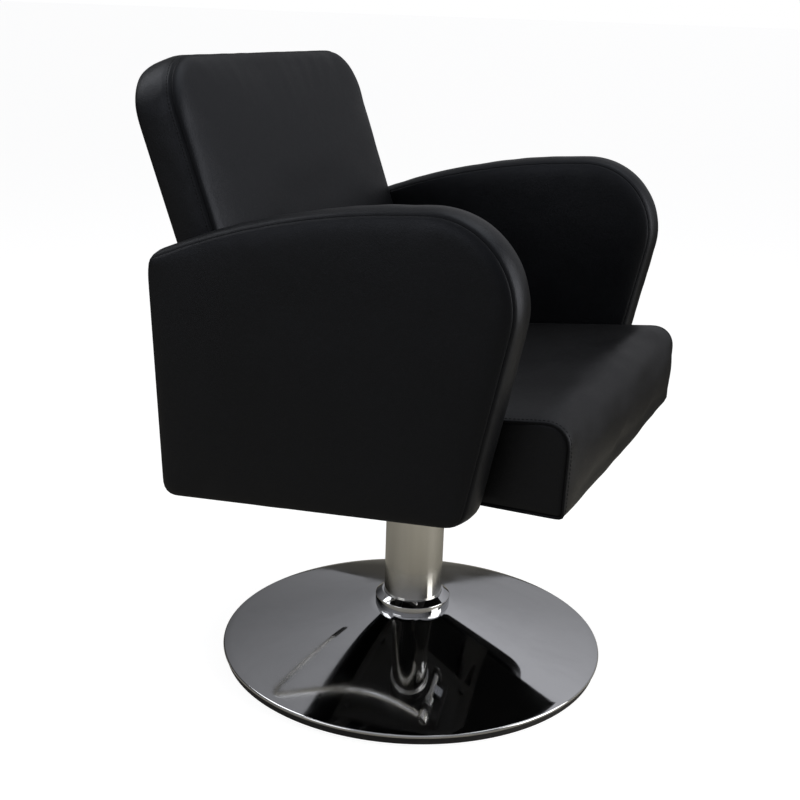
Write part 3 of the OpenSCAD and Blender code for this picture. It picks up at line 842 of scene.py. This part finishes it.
right_arm = arm_cover(-1, "arm_right_cover", "arm_pad_right", 1.3)
left_arm = arm_cover(1, "arm_left_cover", "arm_pad_left", 5.9)
seat = seat_cover()
back = back_cover()
rear = rear_cover()
stuff([
    (right_arm, 2.2 * MM, everywhere),
    (left_arm, 2.2 * MM, everywhere),
    (seat, 5 * MM, seat_share),
    (back, 5 * MM, back_share),
])


def surface_of(piece):
    mesh = piece.data
    return BVHTree.FromPolygons([v.co for v in mesh.vertices], [p.vertices for p in mesh.polygons])


PIPING_RADIUS = 2.0 * MM


def piping(name, cushion, side, body, slot):
    """A thin covered cord sewn into a seam."""
    rings = closed_tube_rings(cushion.seam(side), PIPING_RADIUS)
    piece = add_mesh(name, np.vstack(rings), ring_faces(len(rings), len(rings[0]), True), body, slot)
    return piece


for side, name in ((0, "seat_piping_right"), (1, "seat_piping_left")):
    piping(name, seat, side, "seat", "seat_leather")

STITCH_PITCH = 5 * MM
STITCH_LENGTH = 3.6 * MM
STITCH_RADIUS = 0.42 * MM
SEAT_STITCHES_OFF = 5 * MM
# A stitch's sections: the place along it as a share of its length, and the width as a share of its radius
STITCH_SECTIONS = [(-0.5, 0.35), (-0.36, 0.9), (0.0, 1.1), (0.36, 0.9), (0.5, 0.35)]


def stitch_row(name, line, cover, body, slot):
    """Thread stitches laid on a cover along a closed line."""
    tree = surface_of(cover)
    closed, run = run_of(line)
    count = int(run[-1] / STITCH_PITCH)
    points, faces = [], []
    for k in range(count):
        middle = run[-1] * k / count
        a, b = (np.array([np.interp((middle + s) % run[-1], run, closed[:, c]) for c in range(3)])
                for s in (-STITCH_LENGTH / 2, STITCH_LENGTH / 2))
        spot, normal, _, _ = tree.find_nearest(Vector((a + b) / 2))
        spot, normal, along = np.array(spot), np.array(normal), unit(b - a)
        across = np.cross(normal, along)
        rings = []
        for place, width in STITCH_SECTIONS:
            sink = normal * STITCH_RADIUS * (0.35 - 1.6 * place * place)
            ring = [spot + sink + along * place * STITCH_LENGTH + STITCH_RADIUS * width *
                    (math.cos(t) * across + math.sin(t) * normal) for t in np.arange(6) * math.pi / 3]
            rings.append(np.array(ring))
        new_points, new_faces = capped_rings(rings)
        start = len(points)
        points += list(new_points)
        faces += [tuple(i + start for i in f) for f in new_faces]
    return add_mesh(name, points, faces, body, slot, material=thread)


def band_line(cushion, side, distance):
    """The line on a cushion's band that runs at a distance from one of its seams."""
    inward = (1, -1)[side]
    return cushion.band_ring(cushion.seam_w[side] + inward * distance)[0]


stitch_row("back_stitches", band_line(back, 0, back.second_seam), back.piece, "seat", "black_leather")
for side, name in ((0, "seat_stitches_right"), (1, "seat_stitches_left")):
    stitch_row(name, band_line(seat, side, SEAT_STITCHES_OFF), seat.piece, "seat", "seat_leather")

# ---------------------------------------------------------------- pedestal


def base_pieces():
    """The base, collar, tube and cap again as finely turned shapes, on the CAD's own sizes."""
    dome_low, dome_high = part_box("base_dome")
    ring_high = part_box("floor_ring")[1]
    collar_low, collar_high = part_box("base_collar")
    tube_low, tube_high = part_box("column_tube")
    cap_low, cap_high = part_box("column_cap")
    rim, neck, tube = dome_high[0], collar_high[0], tube_high[0]
    bead = 3 * MM
    bead_at = (rim - bead, dome_low[2] + bead)
    sheet = 1.8 * MM
    cone_top = dome_high[2]
    run, fall = bead_at[0] - neck, cone_top - bead_at[1]
    touch = 180 - math.degrees(math.atan2(fall, run) + math.acos(bead / math.hypot(run, fall)))
    dome = arc(bead_at, bead, -90, touch, 16)
    foot = dome[-1]
    steps = np.linspace(0, 1, 24)
    cone = [(foot[0] + (neck - foot[0]) * t, foot[1] + (cone_top - foot[1]) * t) for t in steps]
    under_collar = neck - 9 * MM
    dome += cone[1:] + [(under_collar, cone_top), (under_collar, cone_top - sheet)]
    dome += [(r, z - sheet) for r, z in cone[:0:-1]]
    inner = bead_at[0] - bead
    dome += [(inner, bead_at[1] + bead - sheet), (inner, bead_at[1] - bead + 1 * MM)]
    dome_piece = lathe("base_cover", dome, "base", "chrome", around=512, smooth_under=50)
    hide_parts("base_dome")

    foot, top = collar_low[2], collar_high[2]
    bore = tube + 0.02 * MM
    collar = [(bore, foot), (neck, foot), (neck, foot + 14 * MM), (tube + 3 * MM, top), (bore, top)]
    collar_piece = lathe("column_collar", softened(collar, 0.8 * MM, 5), "base", "chrome", smooth_under=70)
    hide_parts("base_collar")

    wall = 3 * MM
    foot, top = tube_low[2], tube_high[2]
    barrel = [(tube - wall, foot), (tube, foot), (tube, top), (tube - wall, top)]
    tube_piece = lathe("column_barrel", softened(barrel, 0.8 * MM), "base", "chrome", material=satin_chrome,
                       smooth_under=70)
    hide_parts("column_tube")

    hole = 31 * MM
    edge = cap_high[0]
    cap = [(hole, top), (tube, top), (tube, cap_low[2]), (edge, cap_low[2]), (edge, cap_high[2]),
           (hole, cap_high[2])]
    cap_piece = lathe("column_trim", softened(cap, 1.0 * MM, 5), "base", "chrome", smooth_under=70)
    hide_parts("column_cap")

    plate_low, plate_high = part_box("ballast_plate")
    land = plate_low[2]
    inner, step = plate_high[0] - 18 * MM, plate_high[0] + 4 * MM
    outer, top = ring_high[0], ring_high[2]
    ring = [(inner, 0), (outer, 0), (outer, top), (step, top), (step, land), (inner, land)]
    ring_piece = lathe("floor_gasket", softened(ring, 1.2 * MM), "base", "floor_rubber", smooth_under=70)
    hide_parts("floor_ring")


base_pieces()


# The lever's bend can't be read off its CAD box, so these six repeat the part's source
LEVER_X = -60 * MM
LEVER_REACH = 285 * MM
LEVER_BAR = 165 * MM
LEVER_BEND = 22 * MM
LEVER_TURN = math.radians(102)
LEVER_RADIUS = 6.5 * MM

HUB_BORE = 6.02 * MM
HUB_HALF = 7 * MM
HUB_INSET = 8 * MM
HUB_AROUND = 64


def lever_path(pivot, hub_radius):
    """The rod's middle line: straight back from the hub, round the bend and along the bar."""
    start = np.array([LEVER_X, pivot[1] + hub_radius - 3 * MM, pivot[2]])
    path = [start + (0, (LEVER_REACH - start[1]) * t, 0) for t in np.linspace(0, 1, 12)[:-1]]
    middle = np.array([LEVER_X + LEVER_BEND, LEVER_REACH, pivot[2]])
    for a in np.linspace(0, LEVER_TURN, 28):
        path.append(middle + LEVER_BEND * np.array([-math.cos(a), math.sin(a), 0]))
    heading = np.array([math.sin(LEVER_TURN), math.cos(LEVER_TURN), 0])
    return path + [path[-1] + heading * LEVER_BAR * t for t in (0.2, 0.5, 0.8, 0.97, 1.0)]


def pump_lever_piece():
    """The bent lever rod with its hub, on the CAD lever's own place."""
    points = node_points("pump_lever")
    low, high = points.min(0), points.max(0)
    hub_radius = (high[2] - low[2]) / 2
    pivot = np.array([0, low[1] + hub_radius, low[2] + hub_radius])
    path = lever_path(pivot, hub_radius)
    radii = [LEVER_RADIUS] * (len(path) - 1) + [LEVER_RADIUS - 1 * MM]
    rod_points, rod_faces = capped_rings(tube_rings(path, radii, 32))
    hub = [(HUB_BORE, -HUB_HALF), (hub_radius, -HUB_HALF), (hub_radius, HUB_HALF), (HUB_BORE, HUB_HALF)]
    hub_profile = softened(hub, MM)
    turns = 2 * math.pi * np.arange(HUB_AROUND) / HUB_AROUND
    hub_x = low[0] + HUB_INSET
    hub_points = [(hub_x + x, pivot[1] + r * math.cos(t), pivot[2] + r * math.sin(t))
                  for r, x in hub_profile for t in turns]
    first = len(rod_points)
    hub_faces = [tuple(i + first for i in f) for f in ring_faces(len(hub_profile), HUB_AROUND, True)]
    piece = add_mesh("lever_rod", list(rod_points) + hub_points, rod_faces + hub_faces, "lever", "chrome",
                     material=lever_chrome, smooth_under=60)
    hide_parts("pump_lever")


pump_lever_piece()

# ---------------------------------------------------------------- hardware with eased edges


def ease_edges(node, width, body):
    """Stands a copy of a CAD node in for it, with its sharp edges bevelled."""
    source = frame["nodes"][node]
    mesh = source.data.copy()
    work = bmesh.new()
    work.from_mesh(mesh)
    bmesh.ops.remove_doubles(work, verts=work.verts, dist=0.005 * MM)
    bmesh.ops.dissolve_limit(work, angle_limit=math.radians(1), verts=work.verts, edges=work.edges)
    work.to_mesh(mesh)
    work.free()
    piece = bpy.data.objects.new(node + "_finished", mesh)
    scene.collection.objects.link(piece)
    bevel = piece.modifiers.new("edges", "BEVEL")
    bevel.width = width
    bevel.segments = 2
    bevel.limit_method = "ANGLE"
    bevel.angle_limit = math.radians(40)
    bevel.harden_normals = False
    graph = bpy.context.evaluated_depsgraph_get()
    piece.data = bpy.data.meshes.new_from_object(piece.evaluated_get(graph))
    piece.modifiers.clear()
    piece.data.shade_smooth()
    piece.data.set_sharp_from_angle(angle=math.radians(35))
    slot = next(p["material_slot"] for p in frame["record"]["subparts"] if p["node"] == node)
    piece.data.materials.clear()
    piece.data.materials.append(own_looks.get(node, finishes[slot]))
    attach(piece, body)
    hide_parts(node)


HARDWARE = (
    "pump_head", "mount_plate", "plate_bolts", "plate_nuts", "front_rail", "rear_rail", "back_brackets",
)
for node in HARDWARE:
    ease_edges(node, 0.7 * MM, "seat")

# ---------------------------------------------------------------- floor, light and world

FLOOR_SIZE = 400.0
# The world's lobes of light: toward where, the cosines at which each begins and is full, and its strength
WORLD_LOBES = [
    ((0, 0, 1), 0.0, 0.9, 0.30),
    ((0.95, -0.3, 0.1), 0.3, 0.9, 0.30),
    ((-1, 0, 0), 0.0, 0.9, 0.25),
]
WORLD_TINT = (0.985, 0.99, 1.03, 1)
# The floor is staged: the camera, reflections and all other rays each see a different one
FLOOR_GLOW = 0.86
FLOOR_SEEN = (0.30, 0.30, 0.30)
FLOOR_BOUNCE = (0.12, 0.12, 0.12)
FLOOR_NEAR = (0.42, 0.395, 0.335)
# Painted shadow: beyond the chair, the floor darkens to this colour in reflections.
FLOOR_SHADOW_BEHIND = (0.05, 0.045, 0.033)
SHADOW_FROM, SHADOW_TO = 0.15, 0.75


def make_floor():
    """A floor that is white to the camera and grey in the light that it throws back. In reflections it is
    beige, and a painted shadow darkens it beyond the chair, along the direction in which the camera looks."""
    mesh = bpy.data.meshes.new("floor")
    half = FLOOR_SIZE / 2
    corners = [(-half, -half, 0), (half, -half, 0), (half, half, 0), (-half, half, 0)]
    mesh.from_pydata(corners, [], [(0, 1, 2, 3)])
    look = Look("floor", (0.8, 0.8, 0.8), 0.75, Specular_IOR_Level=0.2)
    depth = look.node("ShaderNodeVectorMath", operation="DOT_PRODUCT")
    depth.inputs[1].default_value = (forward.x, forward.y, 0)
    look.join(look.place, depth.inputs[0])
    # Painted shadow: the reflected floor turns dark beyond the chair, along the camera's direction.
    behind = look.span(depth.outputs["Value"], SHADOW_FROM, SHADOW_TO, 0.0, 1.0, smooth=True)
    mirrored_with_shadow = look.blend(behind, FLOOR_NEAR, FLOOR_SHADOW_BEHIND)
    paths = look.node("ShaderNodeLightPath")
    lit = look.blend(paths.outputs["Is Camera Ray"], FLOOR_BOUNCE, FLOOR_SEEN)
    look.color(look.blend(paths.outputs["Is Glossy Ray"], lit, mirrored_with_shadow))
    look.surface.inputs["Emission Color"].default_value = (1, 1, 1, 1)
    glow = look.math("MULTIPLY", paths.outputs["Is Camera Ray"], FLOOR_GLOW)
    look.join(glow, look.surface.inputs["Emission Strength"])
    mesh.materials.append(look.material)
    floor = bpy.data.objects.new("floor", mesh)
    scene.collection.objects.link(floor)


def make_world():
    """Light from above and from both sides, in soft lobes; the camera itself sees plain white."""
    world = bpy.data.worlds.new("studio")
    scene.world = world
    world.use_nodes = True
    nodes, links = world.node_tree.nodes, world.node_tree.links
    way = nodes.new("ShaderNodeTexCoord").outputs["Generated"]
    light = None
    for toward, start, full, strength in WORLD_LOBES:
        across = nodes.new("ShaderNodeVectorMath")
        across.operation = "DOT_PRODUCT"
        across.inputs[1].default_value = toward
        links.new(way, across.inputs[0])
        lobe = nodes.new("ShaderNodeMapRange")
        lobe.interpolation_type = "SMOOTHSTEP"
        for socket, value in (("From Min", start), ("From Max", full), ("To Min", 0), ("To Max", strength)):
            lobe.inputs[socket].default_value = value
        links.new(across.outputs["Value"], lobe.inputs["Value"])
        if light is None:
            light = lobe.outputs["Result"]
            continue
        both = nodes.new("ShaderNodeMath")
        links.new(light, both.inputs[0])
        links.new(lobe.outputs["Result"], both.inputs[1])
        light = both.outputs["Value"]
    by_camera = nodes.new("ShaderNodeLightPath").outputs["Is Camera Ray"]
    seen = nodes.new("ShaderNodeMix")
    seen.inputs["B"].default_value = 1.0
    links.new(by_camera, seen.inputs["Factor"])
    links.new(light, seen.inputs["A"])
    tint = nodes.new("ShaderNodeMix")
    tint.data_type = "RGBA"
    tint.inputs[MIX_COLOR_A].default_value = WORLD_TINT
    tint.inputs[MIX_COLOR_B].default_value = (1, 1, 1, 1)
    links.new(by_camera, tint.inputs["Factor"])
    links.new(tint.outputs[MIX_COLOR_RESULT], nodes["Background"].inputs["Color"])
    links.new(seen.outputs["Result"], nodes["Background"].inputs["Strength"])


def area_light(name, place, aim, size, power, color=(1, 1, 1)):
    data = bpy.data.lights.new(name, "AREA")
    data.shape = "RECTANGLE"
    data.size, data.size_y = size
    data.energy = power
    data.color = color
    light = bpy.data.objects.new(name, data)
    place = Vector(place)
    turn = (Vector(aim) - place).to_track_quat("-Z", "Y")
    light.matrix_world = Matrix.Translation(place) @ turn.to_matrix().to_4x4()
    scene.collection.objects.link(light)


make_floor()
make_world()
area_light("top", (0.2, -0.5, 2.6), (0, 0, 0.4), (1.8, 1.8), 15, (0.97, 1.0, 1.0))
area_light("front", (0.5, -2.7, 1.25), (0, 0, 0.45), (2.0, 2.0), 42, (1.0, 0.985, 0.955))
area_light("low", (0.2, -2.4, 0.45), (0, 0, 0.3), (1.0, 1.0), 8, (1.0, 0.98, 0.94))
area_light("behind", (-0.4, 2.0, 2.4), (0, 0, 0.5), (1.5, 1.5), 18, (0.98, 0.99, 1.0))
area_light("left", (-2.8, 1.2, 1.4), (0, 0, 0.3), (1.4, 1.4), 9.6, (1.0, 1.0, 1.0))
scene.view_settings.view_transform = "Standard"
